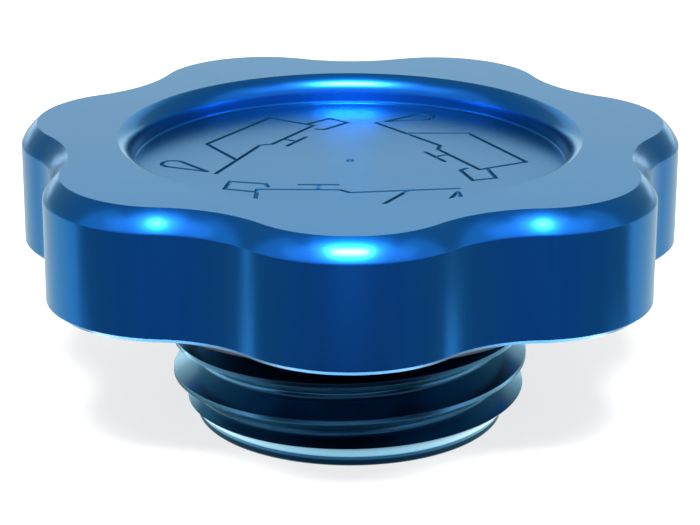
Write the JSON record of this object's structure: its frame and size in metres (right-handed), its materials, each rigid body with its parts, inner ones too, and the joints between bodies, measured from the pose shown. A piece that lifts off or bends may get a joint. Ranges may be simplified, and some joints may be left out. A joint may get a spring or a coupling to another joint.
{
  "type": "oil filler cap",
  "caption": "Lobed screw-in oil filler cap in blue anodised aluminium, with a dished top, engraved oil can signs, a coarse threaded stem and a rubber sealing ring.",
  "frame": {"origin": "middle of the stem's end face", "axes": "+Z along the cap's axis from the stem to the top face, -Y through the middle of one lobe"},
  "size_m": [0.061, 0.0601, 0.0268],
  "materials": {
    "anodised_aluminium": "blue anodised, fine turned and milled surfaces with a satin gloss",
    "seal_rubber": "black moulded rubber, matte"
  },
  "bodies": {
    "root": {"cap_body": "anodised_aluminium", "sealing_ring": "seal_rubber"}
  },
  "joints": []
}
